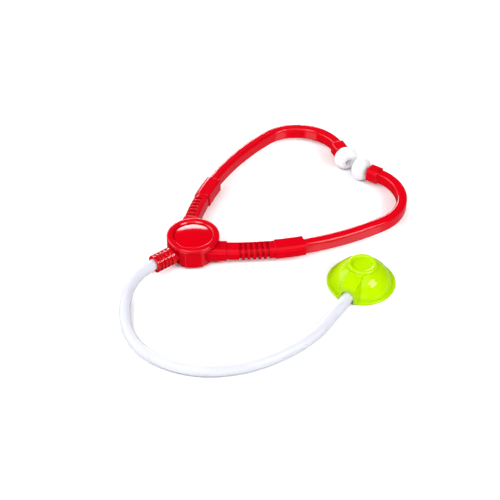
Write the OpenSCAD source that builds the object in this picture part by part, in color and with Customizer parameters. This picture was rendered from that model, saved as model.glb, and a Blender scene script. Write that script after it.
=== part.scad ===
// Toy stethoscope lying flat: a headset with two hinged arms, a soft tube and a chest bell.
// Millimetres. The origin is on the table under the hub, +Z up, +Y towards the ear tips.

/* [Hub] */
// Diameter of the round rim
hub_d = 42; // [41:0.5:46]
// Thickness of the hub's top between the arms and the cap's recess
roof_h = 2.3; // [1.2:0.1:2.6]
// Width of the rim around the domed cap
rim_w = 5.6; // [4.6:0.1:6.4]
// Height of the round band under the rim
rim_h = 3.4; // [3:0.1:3.5]
// Rounding of the rim's edges
rim_round = 1.5; // [0.8:0.1:1.9]
// Depth of the recess that holds the domed cap
recess_depth = 2; // [1.6:0.1:2.2]
// Thickness of the hub's wall at its flats
hub_wall = 2.4; // [2:0.1:2.8]
// Distance between the two arm pivots
pivot_gap = 22; // [21:0.25:22.5]
// Diameter of a pivot post
post_d = 7; // [6.4:0.1:7.6]
// Wall of an arm's knuckle around its post
knuckle_wall = 3.7; // [3.2:0.1:4]
// Ledge of the base plate under the hub's wall
base_ledge = 1; // [0.6:0.1:1.6]
// Thickness of the base plate
base_h = 1.7; // [1.4:0.1:1.8]

/* [Domed cap] */
// Height of the cap's straight edge
cap_edge = 0.5; // [0.4:0.1:0.8]
// Height of the cap's dome above its edge
cap_crown = 1.8; // [1:0.1:2]
// Diameter of the peg under the cap
peg_d = 4; // [3:0.1:5]
// Length of the peg under the cap
peg_len = 2.6; // [1.8:0.1:3.2]

/* [Necks] */
// Width of the root that leaves the hub
root_w = 13.6; // [13:0.1:14]
// Height of the root that leaves the hub
root_h = 12.4; // [12:0.1:12.8]
// Length from the pivot to the end of the root
root_len = 19.9; // [19:0.1:21]
// Width of the plain block before the ribs
block_w = 12; // [11.4:0.1:12.4]
// Height of the plain block before the ribs
block_h = 11; // [10.6:0.1:11.4]
// Length of the plain block before the ribs on the right neck
right_block_len = 10; // [8:0.5:12]
// Length of the plain block before the ribs on the left neck
left_block_len = 2; // [1:0.5:12]
// Width over the ribs
rib_w = 12.2; // [11.8:0.1:12.8]
// Height over the ribs
rib_h = 11.2; // [10.8:0.1:11.6]
// Number of ribs on a neck
rib_count = 5; // [3:1:6]
// Distance from rib to rib
rib_pitch = 4.35; // [3.8:0.05:4.6]
// Width of the groove between two ribs
groove_w = 2.1; // [1.4:0.1:2.4]
// Depth of the groove between two ribs
groove_depth = 1.4; // [1:0.1:1.8]
// Width of the plain strip beside the grooves on the left neck
left_strip = 3.6; // [1.6:0.1:5]
// Width of the plain strip beside the grooves on the right neck
right_strip = 1.6; // [1.6:0.1:5]
// Length of the plain stretch after the ribs
tail_len = 5; // [3:0.5:7]
// Width of the collar that holds the bow
sleeve_w = 13.6; // [13:0.1:14]
// Height of the collar that holds the bow
sleeve_h = 11.8; // [11.6:0.1:12.4]
// Length of the collar that holds the bow
sleeve_len = 23.5; // [18:0.5:25]
// Rounding of the necks' outer long edges
outer_round = 4.5; // [3:0.1:5]
// Rounding of the necks' inner long edges
neck_round = 1; // [0.6:0.1:1.6]

/* [Bows] */
// Width of a bow
arm_w = 8.4; // [8:0.1:9]
// Height of a bow
arm_h = 11; // [10.4:0.1:11.2]
// Rounding of a bow's long edges
arm_round = 2.2; // [1.6:0.1:3]
// Length of a bow's tenon inside its collar
plug_len = 12; // [8:0.5:16]
// Step from a bow to its tenon
plug_step = 1; // [0.8:0.1:1.2]
// Direction of a neck at the hub, from straight ahead, in degrees
arm_heading = 39.9; // [39:0.1:40.5]
// Outward swing of an arm, in degrees
arm_swing = 20; // [10:1:22]
// Radius of the long sweep of an arm
arm_r = 229.7; // [226:0.1:234]
// Turn of the long sweep, in degrees
arm_turn = 33.5; // [33:0.1:34]
// Distance between the middles of the two ear tips' fronts
tip_gap = 6.56; // [5.6:0.02:8]
// Turn of the tight bend, in degrees
bow_turn = 113.1; // [111:0.1:114]
// Width and height of the ferrule at the ear
ferrule_w = 12.2; // [11.6:0.1:12.8]
// Length of the ferrule at the ear
ferrule_len = 9.5; // [8:0.5:10]
// Rounding of the ferrule's long edges
ferrule_round = 3; // [2:0.1:4]
// Diameter of the spigot inside an ear tip
spigot_d = 7; // [6.4:0.1:7.6]
// Length of the spigot inside an ear tip
spigot_len = 7; // [5:0.5:9]

/* [Ear tips] */
// Largest diameter of an ear tip
tip_d = 20.5; // [20:0.1:21]
// Length of an ear tip
tip_len = 15; // [14:0.25:15.5]
// Rounding of an ear tip's bulb
tip_round = 7; // [6:0.1:7.1]
// Diameter of the short neck behind the bulb
tip_neck = 10.6; // [9:0.1:11.4]
// Diameter of the hole in the front
tip_hole_d = 6; // [5:0.1:6.2]

/* [Tube] */
// Outside diameter of the tube
tube_d = 9; // [8.6:0.1:9.4]
// Wall of the outlet around the tube
outlet_wall = 1.7; // [1.4:0.1:2]
// Length of the tube inside the outlet
tube_insert = 20; // [14:0.5:22]
// Length of the outlet's plain collar
outlet_collar = 3.5; // [2:0.5:5]
// Number of ribs on the outlet
outlet_ribs = 4; // [2:1:5]
// Distance from rib to rib on the outlet
outlet_pitch = 3.4; // [3:0.1:3.8]
// Height of the ribs on the outlet
outlet_rib_h = 0.9; // [0.5:0.1:1.2]
// Step of the outlet's flange behind the wall
outlet_step = 1.1; // [0.8:0.1:1.6]
// Thickness of the outlet's flange
outlet_flange = 2; // [1.4:0.1:2.6]

/* [Bell] */
// Diameter of the flange
bell_d = 54; // [53:0.5:58]
// Height of the flange
flange_h = 2.4; // [2:0.1:3]
// Diameter of the dome where it meets the flange
dome_d = 48.6; // [48:0.2:50]
// Height of the dome if it went on under the ring
dome_h = 20.6; // [20.2:0.1:21.4]
// Wall of the bell
bell_wall = 2; // [1.6:0.1:2.4]
// Height of the flat floor inside the ring
ring_floor = 19.2; // [18.8:0.1:19.6]
// Diameter of the ring's crest
ring_d = 19.4; // [18.8:0.2:20.6]
// Thickness of the ring
ring_w = 4.2; // [3.6:0.1:4.8]
// Width of the boss along its top
boss_w = 11.4; // [11:0.1:13]
// Width of the boss at the flange
boss_foot_w = 17.6; // [17:0.2:20]
// Height of the boss at the ring
boss_top = 18.6; // [18.2:0.1:19]
// Height of the boss at the front
boss_front = 15; // [14.4:0.1:16]
// Thickness of the plate that closes the bell
plate_h = 1.5; // [1.2:0.1:2]
// Wall of the cradle around the tube's end
cradle_wall = 1; // [0.8:0.1:1.2]
// Length of the cradle
cradle_len = 14.5; // [10:0.5:15]
// Distance from the bell's middle to the cradle's closed end
cradle_start = 5.5; // [4:0.5:7]

/* [Screws] */
// Diameter of a screw's shank
screw_d = 2.6; // [2.2:0.1:3]
// Length of a screw's shank
screw_len = 7; // [5:0.5:7.5]
// Diameter of a screw's head
head_d = 5; // [4.4:0.1:5.4]
// Height of a screw's head
head_h = 1.6; // [1.2:0.1:1.8]
// Distance from the bell's middle to its screws
bell_screw_r = 17; // [16:0.5:18]

/* [Hidden] */
$fn = 96;
red_plastic = "#dc0a1e";
white_plastic = "#f4f4f6";
green_plastic = "#b4f000";
steel = "#b8bcc2";

// Fits and small allowances
overrun = 1;
run_fit = 0.08;
swing_gap = 0.3;
close_fit = 0.05;
shank_gap = 0.25;
head_gap = 0.3;
head_sink = 0.2;
lap = 0.4;
strip_sink = 0.05;
drive_w = 0.8;
drive_depth = 0.7;
drive_share = 0.6;

// Heights: the ear tips touch the table, so the arms' mid height is half a tip
arm_z = tip_d / 2;
cavity_top = arm_z + root_h / 2 + swing_gap;
floor_z = arm_z - root_h / 2 - swing_gap;
base_z = floor_z - base_h;
recess_z = cavity_top + roof_h;
hub_top = recess_z + recess_depth;

// Hub wall with ten flats, whose corners lie under the rim's edge
hub_sides = 10;
hub_r = hub_d / 2;
flat_r = hub_r * cos(180 / hub_sides);
cavity_r = flat_r - hub_wall;
recess_r = hub_r - rim_w;
pivot = [pivot_gap / 2, 0];
knuckle_r = post_d / 2 + run_fit + knuckle_wall;
back_post = cavity_r - post_d / 2 - hub_wall;
post_at = [[-pivot.x, 0], [pivot.x, 0], [0, back_post]];
foot_r = min(pivot.x, back_post) - head_d / 2 - head_gap;

// Neck stations, along the arm from the end of its root
ribs_len = rib_count * rib_pitch + groove_w;
function sleeve_at(block_len) = block_len + ribs_len + tail_len;
function sleeve_end(block_len) = sleeve_at(block_len) + sleeve_len;
sweep_len = arm_r * arm_turn * PI / 180;

// Centres of the long sweep and of the tight bend of the right arm, which leaves the gap between the tips
root_end = pivot + root_len * [sin(arm_heading), cos(arm_heading)];
sweep_at = root_end + arm_r * [-cos(arm_heading), sin(arm_heading)];
bend_from = arm_turn - arm_heading;
bend_to = bend_from + bow_turn;
ear_len = ferrule_len + tip_len;
bow_reach = sweep_at.x + arm_r * cos(bend_from) - ear_len * sin(bend_to) - tip_gap / 2;
bow_r = bow_reach / (cos(bend_from) - cos(bend_to));
bend_at = sweep_at + (arm_r - bow_r) * [cos(bend_from), sin(bend_from)];
bend_lap = lap / bow_r * 180 / PI;
ear_from = bend_at + bow_r * [cos(bend_to), sin(bend_to)];

// Tube outlet, opposite the arms
outlet_r = tube_d / 2 + close_fit + outlet_wall;
outlet_flange_r = outlet_r + outlet_step;
outlet_at = hub_r + swing_gap;
outlet_end = outlet_at + outlet_collar + outlet_ribs * outlet_pitch;
flange_at = sqrt(cavity_r * cavity_r - outlet_flange_r * outlet_flange_r) - close_fit;

// Chest bell: its middle, and the direction of its boss from +X in degrees
bell_at = [109, 82.75];
boss_heading = -67;
dome_r = dome_d / 2;
dome_z = (dome_h * dome_h - dome_r * dome_r - flange_h * flange_h) / (2 * (dome_h - flange_h));
dome_ball = dome_h - dome_z;
lip_round = flange_h / 2;
plate_r = dome_r - bell_wall / 2;
tube_z = plate_h + tube_d / 2;
notch_r = tube_d / 2 + head_gap;
cradle_r = tube_d / 2 + close_fit + cradle_wall;
cradle_end = cradle_start + cradle_len;
boss_face = bell_d / 2 - lip_round / 2;
pad_h = head_sink + head_h + bell_wall;
pad_r = head_d / 2 + head_gap + cradle_wall;
bell_post_r = screw_d / 2 + bell_wall;
bell_screw_count = 3;
boss_step = 180 / bell_screw_count;

// Tube route on the table, from inside the outlet to the cradle in the bell
tube_sides = 12;
route = [
    [0, -19, 10.25], [0, -40, 10.25], [2.8, -56, 9.4], [9.6, -69, 7.6], [19.2, -78.8, 5.8],
    [29.6, -86.2, 4.8], [40.4, -91.8, 4.6], [53, -95.6, 4.6], [69, -96.2, 4.6], [86, -91.2, 4.6],
    [101, -82.6, 4.6], [113, -71.4, 4.6], [122, -58, 4.6], [128.8, -43, 4.6], [133, -26, 4.6],
    [134.6, -9, 4.6], [134.2, 7, 4.6], [131.6, 21, 4.7], [127.4, 34, 5.2], [123.07, 49.61, 6],
    [112.13, 75.39, 6]
];

// Rectangle with round corners, about its middle
module rounded(w, h, r) {
    square([w - 2 * r, h], center = true);
    square([w, h - 2 * r], center = true);
    for (x = [-1, 1], y = [-1, 1]) translate([x * (w / 2 - r), y * (h / 2 - r)]) circle(r);
}

// Solid along +Y from one distance to another, with the given section
module run(from, to) {
    translate([0, to, 0]) rotate([90, 0, 0]) linear_extrude(to - from) children();
}

// The right neck's straight start, measured from its pivot
module at_pivot() {
    translate([pivot.x, pivot.y, arm_z]) rotate([0, 0, -arm_heading]) children();
}

function sweep_turn(s) = s / arm_r * 180 / PI;

// Stretch of the long sweep, measured from the end of the root
module sweep(from, to) {
    translate([sweep_at.x, sweep_at.y, arm_z]) rotate([0, 0, sweep_turn(from) - arm_heading])
        rotate_extrude(angle = sweep_turn(to - from)) translate([arm_r, 0]) children();
}

// The right arm's ear end, with +Y along the spigot
module at_ear() {
    translate([ear_from.x, ear_from.y, arm_z]) rotate([0, 0, bend_to]) children();
}

// Section of a neck, with +X outwards: wide rounds on the outer side, small ones on the inner side
module neck_section(w, h, grow = 0) {
    outer = outer_round + grow;
    rounded(w, h, outer);
    translate([-outer / 2, 0]) rounded(w - outer, h, neck_round);
}

module bow_section(grow) {
    rounded(arm_w + 2 * grow, arm_h + 2 * grow, arm_round + grow);
}

// Area that the neck's root sweeps through the right side of the hub's wall
module swing_area() {
    side = root_w / 2 + swing_gap;
    reach = hub_d;
    shut = [sin(arm_heading), cos(arm_heading)];
    wide = [sin(arm_heading + arm_swing), cos(arm_heading + arm_swing)];
    shut_side = pivot - side * [shut.y, -shut.x];
    wide_side = pivot + side * [wide.y, -wide.x];
    translate(pivot) circle(knuckle_r + swing_gap);
    polygon([pivot, shut_side, shut_side + reach * shut, wide_side + reach * wide, wide_side]);
}

module hub_body() {
    color(red_plastic) difference() {
        union() {
            difference() {
                union() {
                    translate([0, 0, floor_z]) rotate(180 / hub_sides)
                        cylinder(r = hub_r, h = hub_top - rim_h - floor_z + lap, $fn = hub_sides);
                    rotate_extrude() {
                        translate([0, hub_top - rim_h]) square([hub_r, rim_h - rim_round]);
                        translate([0, hub_top - rim_h]) square([hub_r - rim_round, rim_h]);
                        translate([hub_r - rim_round, hub_top - rim_round]) circle(rim_round);
                    }
                }
                translate([0, 0, floor_z - overrun]) linear_extrude(cavity_top - floor_z + overrun) {
                    circle(cavity_r);
                    swing_area();
                    mirror([1, 0]) swing_area();
                }
                translate([-outlet_r - close_fit, -outlet_at - overrun, floor_z - overrun])
                    cube([2 * (outlet_r + close_fit), outlet_at, cavity_top - floor_z + overrun]);
            }
            for (p = post_at) translate([p.x, p.y, floor_z])
                cylinder(d = post_d, h = recess_z - floor_z - lap);
        }
        for (p = post_at) translate([p.x, p.y, floor_z - overrun])
            cylinder(d = screw_d + 2 * close_fit, h = screw_len - base_h + 2 * overrun);
        translate([0, 0, recess_z]) cylinder(r = recess_r, h = recess_depth + overrun);
        cylinder(d = peg_d + 2 * close_fit, h = hub_top);
        translate([0, 0, hub_top]) rotate_extrude() translate([recess_r, 0]) rotate(45)
            square(rim_round, center = true);
    }
}

module hub_base() {
    color(red_plastic) difference() {
        union() {
            translate([0, 0, base_z]) cylinder(r = cavity_r + base_ledge, h = base_h);
            cylinder(r = foot_r, h = floor_z - lap);
        }
        for (p = post_at) translate([p.x, p.y, 0]) cylinder(d = screw_d + 2 * shank_gap, h = hub_top);
    }
}

module dome_cap() {
    cap_r = recess_r - close_fit;
    ball = (cap_r * cap_r + cap_crown * cap_crown) / (2 * cap_crown);
    color(red_plastic) translate([0, 0, recess_z]) {
        cylinder(r = cap_r, h = cap_edge);
        translate([0, 0, cap_edge]) rotate_extrude() intersection() {
            square([cap_r, cap_crown]);
            translate([0, cap_crown - ball]) circle(ball, $fn = 720);
        }
        translate([0, 0, -peg_len]) cylinder(d = peg_d, h = peg_len + cap_edge);
    }
}

// One self-tapping screw, its head down, with a cross in the head
module screw() {
    difference() {
        union() {
            translate([0, 0, head_sink]) cylinder(d = head_d, h = head_h);
            translate([0, 0, head_sink + head_h - lap]) cylinder(d = screw_d, h = screw_len + lap);
        }
        for (turn = [0, 90]) rotate(turn) translate([0, 0, head_sink])
            cube([head_d * drive_share, drive_w, 2 * drive_depth], center = true);
    }
}

module hub_screws() {
    color(steel) for (p = post_at) translate([p.x, p.y, base_z - head_h - head_sink]) screw();
}

module neck(block_len, strip) {
    ribs_end = block_len + ribs_len;
    open_end = sleeve_end(block_len);
    difference() {
        union() {
            at_pivot() {
                cylinder(r = knuckle_r, h = root_h, center = true);
                run(0, root_len) neck_section(root_w, root_h);
            }
            sweep(-lap, block_len) neck_section(block_w, block_h);
            sweep(block_len - lap, ribs_end + lap) {
                translate([(lap - groove_depth) / 2, 0])
                    neck_section(rib_w - groove_depth - lap, rib_h - 2 * groove_depth, -groove_depth);
                intersection() {
                    neck_section(rib_w - 2 * strip_sink, rib_h - 2 * strip_sink, -strip_sink);
                    translate([-rib_w / 2, -rib_h / 2]) square([strip, rib_h]);
                }
            }
            for (i = [1:rib_count]) let (rib_end = block_len + i * rib_pitch)
                sweep(rib_end - rib_pitch + groove_w, rib_end) neck_section(rib_w, rib_h);
            sweep(ribs_end, sleeve_at(block_len) + lap) neck_section(block_w, block_h);
            sweep(sleeve_at(block_len), open_end) neck_section(sleeve_w, sleeve_h);
        }
        at_pivot() cylinder(d = post_d + 2 * run_fit, h = root_h + 2 * overrun, center = true);
        sweep(open_end - plug_len, open_end + overrun) bow_section(close_fit - plug_step);
    }
}

module left_neck() {
    color(red_plastic) mirror([1, 0, 0]) neck(left_block_len, left_strip);
}

module right_neck() {
    color(red_plastic) neck(right_block_len, right_strip);
}

module bow(block_len) {
    start = sleeve_end(block_len);
    sweep(start - plug_len + close_fit, start + lap) bow_section(-plug_step);
    sweep(start, sweep_len) bow_section(0);
    translate([bend_at.x, bend_at.y, arm_z]) rotate(bend_from - bend_lap)
        rotate_extrude(angle = bow_turn + bend_lap) translate([bow_r, 0]) bow_section(-close_fit);
    at_ear() {
        run(-lap, ferrule_len) rounded(ferrule_w, ferrule_w, ferrule_round);
        run(ferrule_len - lap, ferrule_len + spigot_len) circle(d = spigot_d);
    }
}

module left_bow() {
    color(red_plastic) mirror([1, 0, 0]) bow(left_block_len);
}

module right_bow() {
    color(red_plastic) bow(right_block_len);
}

module ear_tip() {
    at_ear() translate([0, ferrule_len, 0]) rotate([-90, 0, 0]) difference() {
        rotate_extrude() {
            square([tip_neck / 2, tip_len - tip_round]);
            square([tip_d / 2 - tip_round, tip_len]);
            intersection() {
                translate([tip_d / 2 - tip_round, tip_len - tip_round]) circle(tip_round);
                square(tip_d);
            }
        }
        translate([0, 0, -overrun]) cylinder(d = spigot_d + 2 * close_fit, h = spigot_len + overrun);
        cylinder(d = tip_hole_d, h = tip_len + overrun);
    }
}

module left_ear_tip() {
    color(white_plastic) mirror([1, 0, 0]) ear_tip();
}

module right_ear_tip() {
    color(white_plastic) ear_tip();
}

module tube_outlet() {
    color(red_plastic) translate([0, 0, arm_z]) rotate([90, 0, 0]) difference() {
        union() {
            intersection() {
                union() {
                    translate([0, 0, flange_at - outlet_flange])
                        cylinder(r = outlet_flange_r, h = outlet_flange);
                    translate([0, 0, flange_at - lap])
                        cylinder(r = outlet_r, h = outlet_at - flange_at + 2 * lap);
                }
                translate([-hub_d / 2, -root_h / 2, 0]) cube([hub_d, root_h, hub_d]);
            }
            translate([0, 0, outlet_at]) {
                cylinder(r = outlet_r, h = outlet_end - outlet_at);
                cylinder(r = outlet_r + outlet_rib_h, h = outlet_collar);
                for (i = [1:outlet_ribs]) translate([0, 0, outlet_collar + (i - 1 / 2) * outlet_pitch])
                    cylinder(r = outlet_r + outlet_rib_h, h = outlet_pitch / 2);
            }
        }
        translate([0, 0, outlet_end - tube_insert])
            cylinder(d = tube_d + 2 * close_fit, h = tube_insert + overrun);
    }
}

// Rings of points around a route, each square to the route there
function heading(p, i) = let (a = p[max(i - 1, 0)], b = p[min(i + 1, len(p) - 1)])
    (b - a) / norm(b - a);
function ring(c, t, r, n) = let (s = cross(t, [0, 0, 1]), u = s / norm(s), v = cross(u, t))
    [for (k = [0:n - 1]) c + r * (cos(k * 360 / n) * u + sin(k * 360 / n) * v)];

// Closed tube of round section along a route
module tube_along(p, r, n) {
    last = len(p) - 1;
    points = [for (i = [0:last]) each ring(p[i], heading(p, i), r, n)];
    sides = [for (i = [0:last - 1], k = [0:n - 1]) let (a = i * n + k, b = i * n + (k + 1) % n)
        each [[a, b, b + n], [a, b + n, a + n]]];
    caps = [for (k = [1:n - 2]) each [[0, k + 1, k], [last * n, last * n + k, last * n + k + 1]]];
    polyhedron(points, concat(sides, caps));
}

module tube() {
    color(white_plastic) tube_along(route, tube_d / 2, tube_sides);
}

// The bell's own place: its middle on the table, with +X along the boss
module at_bell() {
    translate([bell_at.x, bell_at.y, 0]) rotate(boss_heading) children();
}

module along_boss(from, to, r) {
    translate([from, 0, tube_z]) rotate([0, 90, 0]) cylinder(r = r, h = to - from);
}

module bell_outline() {
    square([bell_d / 2 - lip_round, flange_h]);
    translate([bell_d / 2 - lip_round, lip_round]) circle(lip_round);
    intersection() {
        square([dome_r, ring_floor]);
        translate([0, dome_z]) circle(dome_ball);
    }
    translate([ring_d / 2, boss_top]) circle(d = ring_w);
}

module bell_hollow() {
    intersection() {
        translate([0, -overrun]) square([dome_r - bell_wall, ring_floor - bell_wall + overrun]);
        translate([0, dome_z]) circle(dome_ball - bell_wall);
    }
    translate([0, -overrun]) square([plate_r + close_fit, plate_h + overrun]);
}

module boss_solid() {
    intersection() {
        rotate([90, 0, 90]) linear_extrude(boss_face) polygon([
            [-boss_foot_w / 2, flange_h / 2], [boss_foot_w / 2, flange_h / 2],
            [boss_w / 2, boss_top], [-boss_w / 2, boss_top]
        ]);
        translate([0, boss_foot_w, 0]) rotate([90, 0, 0]) linear_extrude(2 * boss_foot_w) polygon([
            [0, 0], [boss_face, 0], [boss_face, boss_front], [ring_d / 2, boss_top], [0, boss_top]
        ]);
    }
}

module bell_screw_places() {
    for (i = [0:bell_screw_count - 1]) rotate(boss_step + i * 2 * boss_step)
        translate([bell_screw_r, 0, 0]) children();
}

module bell() {
    color(green_plastic) at_bell() difference() {
        union() {
            difference() {
                union() {
                    rotate_extrude() bell_outline();
                    boss_solid();
                }
                rotate_extrude() bell_hollow();
                along_boss(0, cradle_end + head_gap, cradle_r + head_gap);
                along_boss(0, bell_d, notch_r);
                translate([cradle_start, -notch_r, -overrun])
                    cube([bell_d, 2 * notch_r, tube_z + overrun]);
            }
            intersection() {
                bell_screw_places() translate([0, 0, pad_h]) cylinder(r = bell_post_r, h = dome_h);
                rotate_extrude() intersection() {
                    square([dome_r, ring_floor - bell_wall / 2]);
                    translate([0, dome_z]) circle(dome_ball - bell_wall / 2);
                }
            }
        }
        bell_screw_places() translate([0, 0, pad_h - overrun])
            cylinder(d = screw_d + 2 * close_fit, h = screw_len - bell_wall + overrun);
    }
}

module bell_base() {
    color(green_plastic) at_bell() difference() {
        union() {
            cylinder(r = plate_r, h = plate_h);
            bell_screw_places() cylinder(r = pad_r, h = pad_h);
            along_boss(cradle_start, cradle_end, cradle_r);
        }
        along_boss(cradle_start + cradle_wall, bell_d, tube_d / 2 + close_fit);
        bell_screw_places() translate([0, 0, -overrun]) {
            cylinder(d = head_d + 2 * head_gap, h = head_sink + head_h + overrun);
            cylinder(d = screw_d + 2 * shank_gap, h = pad_h + 2 * overrun);
        }
    }
}

module bell_screws() {
    color(steel) at_bell() bell_screw_places() screw();
}

hub_body();
hub_base();
dome_cap();
hub_screws();
left_neck();
right_neck();
left_bow();
right_bow();
left_ear_tip();
right_ear_tip();
tube_outlet();
tube();
bell();
bell_base();
bell_screws();
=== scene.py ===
import bpy
import numpy as np
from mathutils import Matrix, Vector


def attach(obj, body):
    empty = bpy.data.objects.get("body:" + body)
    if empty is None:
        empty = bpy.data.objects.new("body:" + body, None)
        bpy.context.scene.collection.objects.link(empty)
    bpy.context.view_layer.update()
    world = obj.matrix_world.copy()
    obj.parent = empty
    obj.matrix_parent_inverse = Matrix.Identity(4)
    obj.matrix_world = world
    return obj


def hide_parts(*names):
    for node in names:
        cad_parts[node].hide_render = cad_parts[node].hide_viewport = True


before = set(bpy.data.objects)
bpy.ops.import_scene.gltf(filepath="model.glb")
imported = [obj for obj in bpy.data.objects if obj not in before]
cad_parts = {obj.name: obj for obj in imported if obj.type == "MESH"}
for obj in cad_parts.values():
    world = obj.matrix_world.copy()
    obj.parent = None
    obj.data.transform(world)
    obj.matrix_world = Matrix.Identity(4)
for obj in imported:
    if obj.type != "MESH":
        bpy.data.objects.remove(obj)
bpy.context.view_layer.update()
scene = bpy.context.scene
print("frame loaded:", len(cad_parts), "nodes")

# camera at the photograph's angle, and the tone of the picture
cameraSetup = {
    "place": (0.59768, -0.41751, 0.63934),
    "forward": (-0.58964, 0.46908, -0.65755),
    "lens": 86.4,  # mm, as is the sensor
    "sensor": 36.0,
    "transform": "Standard",
    "look": "Medium High Contrast",
}


def pointAlong(obj, place, forward):
    # stand a camera or a lamp at its place, facing forward
    obj.location = place
    obj.rotation_euler = Vector(forward).to_track_quat("-Z", "Y").to_euler()
    scene.collection.objects.link(obj)


def makeCamera(setup):
    data = bpy.data.cameras.new("camera")
    data.lens = setup["lens"]
    data.sensor_width = setup["sensor"]
    camera = bpy.data.objects.new("camera", data)
    pointAlong(camera, setup["place"], setup["forward"])
    scene.camera = camera
    scene.view_settings.view_transform = setup["transform"]
    scene.view_settings.look = setup["look"]


makeCamera(cameraSetup)
print("camera set")

# the soft tube, from inside the outlet, along the table and into the bell
tubeSetup = {
    "diameter": 0.009,
    "length": 0.328,
    "mouth": (0.0, -0.0384, 0.01025),
    "stepsPerSpan": 16,
    "roundness": 8,
    "route": [
        (0, -0.019, 0.01025), (0, -0.040, 0.01025), (0.0028, -0.056, 0.0094),
        (0.0096, -0.069, 0.0076), (0.0192, -0.0788, 0.0058), (0.0296, -0.0862, 0.0048),
        (0.0404, -0.0918, 0.0046), (0.053, -0.0956, 0.0046), (0.069, -0.0962, 0.0046),
        (0.086, -0.0912, 0.0046), (0.101, -0.0826, 0.0046), (0.113, -0.0714, 0.0046),
        (0.122, -0.058, 0.0046), (0.1288, -0.043, 0.0046), (0.133, -0.026, 0.0046),
        (0.1346, -0.009, 0.0046), (0.1342, 0.007, 0.0046), (0.1316, 0.021, 0.0047),
        (0.1274, 0.034, 0.0052), (0.12307, 0.04961, 0.006), (0.11213, 0.07539, 0.006),
    ],
}


def splineHandles(route):
    # Bezier handles of the cubic through the route that bends evenly, by chord length
    spots = np.array(route, float)
    chords = np.diff(spots, axis=0)
    gaps = np.linalg.norm(chords, axis=1)
    count = len(spots)
    weights = np.zeros((count, count))
    wanted = np.zeros((count, 3))
    # straight out at both ends
    weights[0, 0], wanted[0] = 1, chords[0] / gaps[0]
    weights[-1, -1], wanted[-1] = 1, chords[-1] / gaps[-1]
    for i in range(1, count - 1):
        back, ahead = gaps[i - 1], gaps[i]
        weights[i, i - 1:i + 2] = ahead, 2 * (back + ahead), back
        wanted[i] = 3 * (ahead * chords[i - 1] / back + back * chords[i] / ahead)
    slopes = np.linalg.solve(weights, wanted)
    # a handle reaches a third of the way to the next point
    gapBefore = np.concatenate([[gaps[0]], gaps])[:, None]
    gapAfter = np.concatenate([gaps, [gaps[-1]]])[:, None]
    return spots - slopes * gapBefore / 3, spots + slopes * gapAfter / 3


def makeTube(setup):
    curve = bpy.data.curves.new("tube_soft", "CURVE")
    curve.dimensions = "3D"
    curve.resolution_u = setup["stepsPerSpan"]
    curve.bevel_depth = 1.0  # times each point's radius, which also gives the piece its box
    curve.bevel_resolution = setup["roundness"]
    curve.use_fill_caps = True
    spline = curve.splines.new("BEZIER")
    spline.bezier_points.add(len(setup["route"]) - 1)
    left, right = splineHandles(setup["route"])
    for i, point in enumerate(spline.bezier_points):
        point.handle_left_type = point.handle_right_type = "FREE"
        point.co = setup["route"][i]
        point.handle_left = left[i]
        point.handle_right = right[i]
        point.radius = setup["diameter"] / 2
    piece = bpy.data.objects.new("tube_soft", curve)
    scene.collection.objects.link(piece)
    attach(piece, "hub")
    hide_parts("tube")
    return piece


tube = makeTube(tubeSetup)
print("tube laid")

fineSamples = 6  # of the nodes that look round a point, for grooves and edges
noiseMiddle = 0.5


class Wire:
    # a shader socket that takes part in sums
    def __init__(self, paint, socket):
        self.paint = paint
        self.socket = socket

    def sums(self, operation, first, second):
        return self.paint.node("ShaderNodeMath", {"operation": operation}, {0: first, 1: second})

    def __add__(self, other):
        return self.sums("ADD", self, other)

    __radd__ = __add__

    def __sub__(self, other):
        return self.sums("SUBTRACT", self, other)

    def __rsub__(self, other):
        return self.sums("SUBTRACT", other, self)

    def __mul__(self, other):
        return self.sums("MULTIPLY", self, other)

    __rmul__ = __mul__


class Paint:
    # the nodes of one material, or of the world
    def __init__(self, holder):
        self.holder = holder
        self.holder.use_nodes = True
        self.tree = self.holder.node_tree
        self.tree.nodes.clear()

    def node(self, kind, settings=None, inputs=None, out=0):
        made = self.tree.nodes.new(kind)
        for key, value in (settings or {}).items():
            setattr(made, key, value)
        for key, value in (inputs or {}).items():
            if isinstance(value, Wire):
                self.tree.links.new(value.socket, made.inputs[key])
            else:
                made.inputs[key].default_value = value
        return Wire(self, made.outputs[out]) if made.outputs else None

    def noise(self, place, scale, detail, rough=0.5):
        sockets = {"Vector": place, "Scale": scale, "Detail": detail, "Roughness": rough}
        return self.node("ShaderNodeTexNoise", {}, sockets)

    def mix(self, share, first, second):
        # the Mix node's colours are its inputs 6 and 7 and its output 2
        sockets = {0: share, 6: first, 7: second}
        return self.node("ShaderNodeMix", {"data_type": "RGBA"}, sockets, 2)

    def steps(self, value, edge):
        # 0 below the edge's first number, 1 above its second, smooth between
        sockets = {"Value": value, "From Min": edge[0], "From Max": edge[1]}
        return self.node("ShaderNodeMapRange", {"interpolation_type": "SMOOTHSTEP"}, sockets)

    def upPart(self, vector):
        return self.node("ShaderNodeSeparateXYZ", {}, {"Vector": vector}, "Z")

    def openness(self, depth):
        # 1 on open faces, and less in grooves and holes
        settings = {"samples": fineSamples, "only_local": True}
        return self.node("ShaderNodeAmbientOcclusion", settings, {"Distance": depth}, "AO")

    def finish(self, **inputs):
        named = {key.replace("_", " "): value for key, value in inputs.items()}
        surface = self.node("ShaderNodeBsdfPrincipled", {}, named)
        self.node("ShaderNodeOutputMaterial", {}, {"Surface": surface})
        return self.holder


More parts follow.
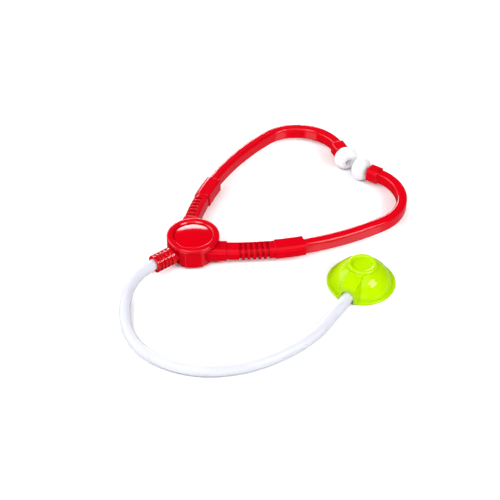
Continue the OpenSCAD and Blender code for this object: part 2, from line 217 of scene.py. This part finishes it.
# finishes of the moulded pieces: light and deep drift into each other. The third tone is painted
# into
# grooves and holes: painted shade, darker than the plastic, on the red and lime pieces, and a
# painted glow, brighter than the plastic, on the white ones; the share after it is how much of
# that painted tone a level top loses, as if lit from above. edge is the radius of the rounding,
# seam the height of the mould line, milky and bleed the light inside the plastic
plasticLooks = {
    "red_bow": {
        "light": (0.60, 0.0, 0.012, 1), "deep": (0.55, 0.0, 0.009, 1),
        "paintedHollowTone": (0.40, 0.0, 0.003, 1), "paintedTopFade": 0.6,
        "gloss": 0.5, "rough": 0.09, "scuffs": 0.09, "peel": 0.012,
        "edge": 0.0013, "seam": 0.01025, "milky": 0.0, "bleed": 0.008,
    },
    # the neck's red is a little darker than the bow's: painted shade that tones down how brightly
    # the necks render
    "red_neck": {
        "light": (0.57, 0.0, 0.012, 1), "deep": (0.52, 0.0, 0.009, 1),
        "paintedHollowTone": (0.34, 0.0, 0.003, 1), "paintedTopFade": 0.6,
        "gloss": 0.24, "rough": 0.11, "scuffs": 0.09, "peel": 0.012,
        "edge": 0.0008, "seam": 0.01025, "milky": 0.0, "bleed": 0.008,
    },
    "red_hub": {
        "light": (0.57, 0.0, 0.011, 1), "deep": (0.52, 0.0, 0.009, 1),
        "paintedHollowTone": (0.36, 0.0, 0.002, 1), "paintedTopFade": 0.4,
        "gloss": 0.45, "rough": 0.11, "scuffs": 0.07, "peel": 0.008,
        "edge": 0.0009, "seam": None, "milky": 0.0, "bleed": 0.008,
    },
    "red_cap": {
        "light": (0.57, 0.0, 0.011, 1), "deep": (0.52, 0.0, 0.009, 1),
        "paintedHollowTone": (0.36, 0.0, 0.002, 1), "paintedTopFade": 0.4,
        "gloss": 0.2, "rough": 0.10, "scuffs": 0.05, "peel": 0.006,
        "edge": 0.0009, "seam": None, "milky": 0.0, "bleed": 0.008,
    },
    "lime": {
        "light": (0.41, 0.62, 0.0, 1), "deep": (0.365, 0.59, 0.0, 1),
        "paintedHollowTone": (0.33, 0.54, 0.0, 1), "paintedTopFade": 0.5,
        "gloss": 0.25, "rough": 0.05, "scuffs": 0.06, "peel": 0.01,
        "edge": 0.0010, "seam": None, "milky": 0.0, "bleed": 0.008,
    },
    # its hollow tone is brighter than the plastic: a painted glow in the ear tips' holes
    "white_tip": {
        "light": (0.72, 0.70, 0.73, 1), "deep": (0.69, 0.67, 0.71, 1),
        "paintedHollowTone": (0.98, 0.95, 1.0, 1), "paintedTopFade": 0.0,
        "gloss": 0.3, "rough": 0.32, "scuffs": 0.12, "peel": 0.04,
        "edge": 0.0008, "seam": None, "milky": 1.0, "bleed": 0.03,
    },
    # its hollow tone is brighter than the plastic: a painted glow in the tube's hollows
    "white_tube": {
        "light": (0.552, 0.565, 0.604, 1), "deep": (0.526, 0.540, 0.582, 1),
        "paintedHollowTone": (0.62, 0.63, 0.68, 1), "paintedTopFade": 0.0,
        "gloss": 0.3, "rough": 0.28, "scuffs": 0.10, "peel": 0.04,
        "edge": None, "seam": None, "milky": 0.6, "bleed": 0.012,
    },
}

# marks that all moulded pieces share. A noise has its scale, detail and roughness, and an edge
# the values between which its effect comes in
plasticMarks = {
    "cloud": (46.0, 3.0),  # slow drift of the colour
    "cloudRough": 0.04,
    "grain": (1500.0, 2.0),
    "grainHeight": 0.3,
    "wave": (210.0, 2.0),
    "waveHeight": 0.7,
    "scuff": (330.0, 6.0, 0.75),
    "scuffEdge": (0.55, 0.8),
    "grooveDepth": 0.004,
    "grooveEdge": (0.25, 0.72),
    "levelEdge": (0.75, 1.0),
    "seamEdge": (0.00006, 0.0002),
    "seamTone": 0.22,
    "seamHeight": 0.8,
    "relief": 0.0005,
    "bleedTint": (1.0, 0.9, 1.0),
}


def mouldedPlastic(name, look, marks):
    paint = Paint(bpy.data.materials.new(name))
    place = paint.node("ShaderNodeTexCoord", out="Object")
    cloud = paint.noise(place, *marks["cloud"])
    grain = paint.noise(place, *marks["grain"])
    wave = paint.noise(place, *marks["wave"])
    scuff = paint.steps(paint.noise(place, *marks["scuff"]), marks["scuffEdge"])
    colour = paint.mix(cloud, look["light"], look["deep"])
    # painted shade: grooves and holes, found by ambient occlusion, take the painted hollow tone
    # (a painted glow on the white pieces), faded where a face looks up as if lit from above
    paintedHollowMask = 1 - paint.steps(paint.openness(marks["grooveDepth"]), marks["grooveEdge"])
    upward = paint.upPart(paint.node("ShaderNodeNewGeometry", out="Normal"))
    shade = paintedHollowMask * (1 - look["paintedTopFade"] * paint.steps(upward, marks["levelEdge"]))
    colour = paint.mix(shade, colour, look["paintedHollowTone"])
    rough = look["rough"] + look["scuffs"] * scuff + marks["cloudRough"] * (cloud - noiseMiddle)
    height = marks["grainHeight"] * grain + marks["waveHeight"] * wave
    if look["seam"]:
        rise = paint.upPart(place) - look["seam"]
        away = paint.node("ShaderNodeMath", {"operation": "ABSOLUTE"}, {0: rise})
        seam = 1 - paint.steps(away, marks["seamEdge"])
        colour = paint.mix(marks["seamTone"] * seam, colour, look["paintedHollowTone"])
        height = height + marks["seamHeight"] * seam
    relief = {"Strength": look["peel"], "Distance": marks["relief"], "Height": height}
    if look["edge"]:
        settings = {"samples": fineSamples}
        relief["Normal"] = paint.node("ShaderNodeBevel", settings, {"Radius": look["edge"]})
    return paint.finish(
        Base_Color=colour,
        Roughness=rough,
        Normal=paint.node("ShaderNodeBump", {}, relief),
        Specular_IOR_Level=look["gloss"],
        Subsurface_Weight=look["milky"],
        Subsurface_Radius=marks["bleedTint"],
        Subsurface_Scale=look["bleed"],
    )


# bright zinc of the small screws; dark is their stain colour and also painted shade in their
# recesses
screwLook = {
    "light": (0.66, 0.67, 0.69, 1),
    "dark": (0.20, 0.20, 0.22, 1),
    "rough": 0.26,
    "grain": (2600.0, 4.0, 0.7),
    "grainRough": 0.18,
    "stain": (420.0, 3.0),
    "stainEdge": (0.4, 0.75),
    "stainShare": 0.35,
    "grooveDepth": 0.0015,
    "grooveEdge": (0.3, 0.9),
    "peel": 0.12,
    "relief": 0.0002,
}


def zincScrew(name, look):
    paint = Paint(bpy.data.materials.new(name))
    place = paint.node("ShaderNodeTexCoord", out="Object")
    grain = paint.noise(place, *look["grain"])
    stain = paint.steps(paint.noise(place, *look["stain"]), look["stainEdge"])
    colour = paint.mix(look["stainShare"] * stain, look["light"], look["dark"])
    # painted shade: recesses of the screws, found by ambient occlusion, take the dark colour
    paintedShadeOpenness = paint.steps(paint.openness(look["grooveDepth"]), look["grooveEdge"])
    relief = {"Strength": look["peel"], "Distance": look["relief"], "Height": grain}
    return paint.finish(
        Base_Color=paint.mix(paintedShadeOpenness, look["dark"], colour),
        Roughness=look["rough"] + look["grainRough"] * grain,
        Metallic=1.0,
        Normal=paint.node("ShaderNodeBump", {}, relief),
    )


finishes = {name: mouldedPlastic(name, look, plasticMarks) for name, look in plasticLooks.items()}
finishes["zinc"] = zincScrew("zinc", screwLook)
tube.data.materials.append(finishes["white_tube"])
finishOf = {
    "hub_body": "red_hub", "hub_base": "red_hub", "tube_outlet": "red_hub", "dome_cap": "red_cap",
    "left_neck": "red_neck", "right_neck": "red_neck",
    "left_bow": "red_bow", "right_bow": "red_bow",
    "left_ear_tip": "white_tip", "right_ear_tip": "white_tip", "tube": "white_tube",
    "bell": "lime", "bell_base": "lime", "hub_screws": "zinc", "bell_screws": "zinc",
}
for name, finish in finishOf.items():
    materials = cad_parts[name].data.materials
    materials.clear()
    materials.append(finishes[finish])
print("finishes mixed:", len(finishes))

# a pale floor and soft lamps. The sky gives the reflections: a white sweep on the left and in
# front, and below the horizon a dark shiny table, pale on its far side, with two windows in it
stageSetup = {
    "floorHalf": 0.8,
    "floorTone": (0.95, 0.95, 0.95, 1),
    "floorRough": 0.7,
    "floorGloss": 0.1,
    "backdrop": (1.0, 1.0, 1.0, 1),
    "skyTone": (0.06, 0.06, 0.065, 1),
    "sweepTone": (1.3, 1.3, 1.34, 1),
    "sweepSide": (-0.5, -0.866, 0.0),
    "sweepEdge": (-0.45, 0.25),
    "sweepTop": (0.16, 0.48),
    "tableEdge": (-0.06, 0.0),
    "backTone": (0.34, 0.34, 0.37, 1),
    "backSide": (0.45, 0.893, 0.0),
    "backEdge": (0.1, 0.45),
    "windowTone": (1.1, 1.1, 1.16, 1),
    "windowSides": [(0.72, 0.17, -0.67), (0.14, -0.74, -0.66)],
    "windowEdge": (0.965, 0.975),
    "lamps": {
        "above": {
            "place": (0.5, -0.4, 1.5), "aim": (0.03, 0.04, 0), "size": (1.8, 1.8), "power": 10.5,
        },
        "behind": {
            "place": (-1.26, 0.85, 0.6), "aim": (0, 0, 0), "size": (0.7, 0.36), "power": 11,
        },
        "right": {
            "place": (1.22, 0.39, 1.02), "aim": (0.1, 0.08, 0), "size": (0.7, 0.58), "power": 15,
        },
        "front": {
            "place": (0.2, -0.84, 1.12), "aim": (0.0, 0.1, 0), "size": (0.66, 0.46), "power": 7,
        },
        "left": {
            "place": (-1.1, -0.8, 0.9), "aim": (0.05, 0.04, 0), "size": (1.2, 0.9), "power": 10,
        },
    },
}


def makeFloor(setup):
    half = setup["floorHalf"]
    corners = [(-half, -half, 0), (half, -half, 0), (half, half, 0), (-half, half, 0)]
    mesh = bpy.data.meshes.new("floor")
    mesh.from_pydata(corners, [], [(0, 1, 2, 3)])
    mesh.materials.append(Paint(bpy.data.materials.new("floor")).finish(
        Base_Color=setup["floorTone"],
        Roughness=setup["floorRough"],
        Specular_IOR_Level=setup["floorGloss"],
    ))
    floor = bpy.data.objects.new("floor", mesh)
    floor.visible_glossy = False  # the pieces mirror the sky's dark table instead
    scene.collection.objects.link(floor)


def makeSky(setup):
    sky = Paint(bpy.data.worlds.new("world"))
    way = sky.node("ShaderNodeTexCoord", out="Generated")
    high = sky.upPart(way)

    def towards(side):
        settings = {"operation": "DOT_PRODUCT"}
        return sky.node("ShaderNodeVectorMath", settings, {0: way, 1: side}, "Value")

    below = 1 - sky.steps(high, setup["tableEdge"])
    low = (1 - sky.steps(high, setup["sweepTop"])) * (1 - below)
    sweep = sky.steps(towards(setup["sweepSide"]), setup["sweepEdge"]) * low
    tone = sky.mix(sweep, setup["skyTone"], setup["sweepTone"])
    back = below * sky.steps(towards(setup["backSide"]), setup["backEdge"])
    tone = sky.mix(back, tone, setup["backTone"])
    for side in setup["windowSides"]:
        tone = sky.mix(sky.steps(towards(side), setup["windowEdge"]), tone, setup["windowTone"])
    # the camera itself sees a plain backdrop all round
    seen = sky.node("ShaderNodeLightPath", out="Is Camera Ray")
    tone = sky.mix(seen, tone, setup["backdrop"])
    surface = sky.node("ShaderNodeBackground", {}, {"Color": tone})
    sky.node("ShaderNodeOutputWorld", {}, {"Surface": surface})
    scene.world = sky.holder


def makeLamps(lamps):
    for name, lamp in lamps.items():
        data = bpy.data.lights.new(name, "AREA")
        data.shape = "RECTANGLE"
        data.size, data.size_y = lamp["size"]
        data.energy = lamp["power"]
        obj = bpy.data.objects.new(name, data)
        obj.visible_camera = False
        pointAlong(obj, lamp["place"], Vector(lamp["aim"]) - Vector(lamp["place"]))


makeFloor(stageSetup)
makeSky(stageSetup)
makeLamps(stageSetup["lamps"])
print("stage lit")
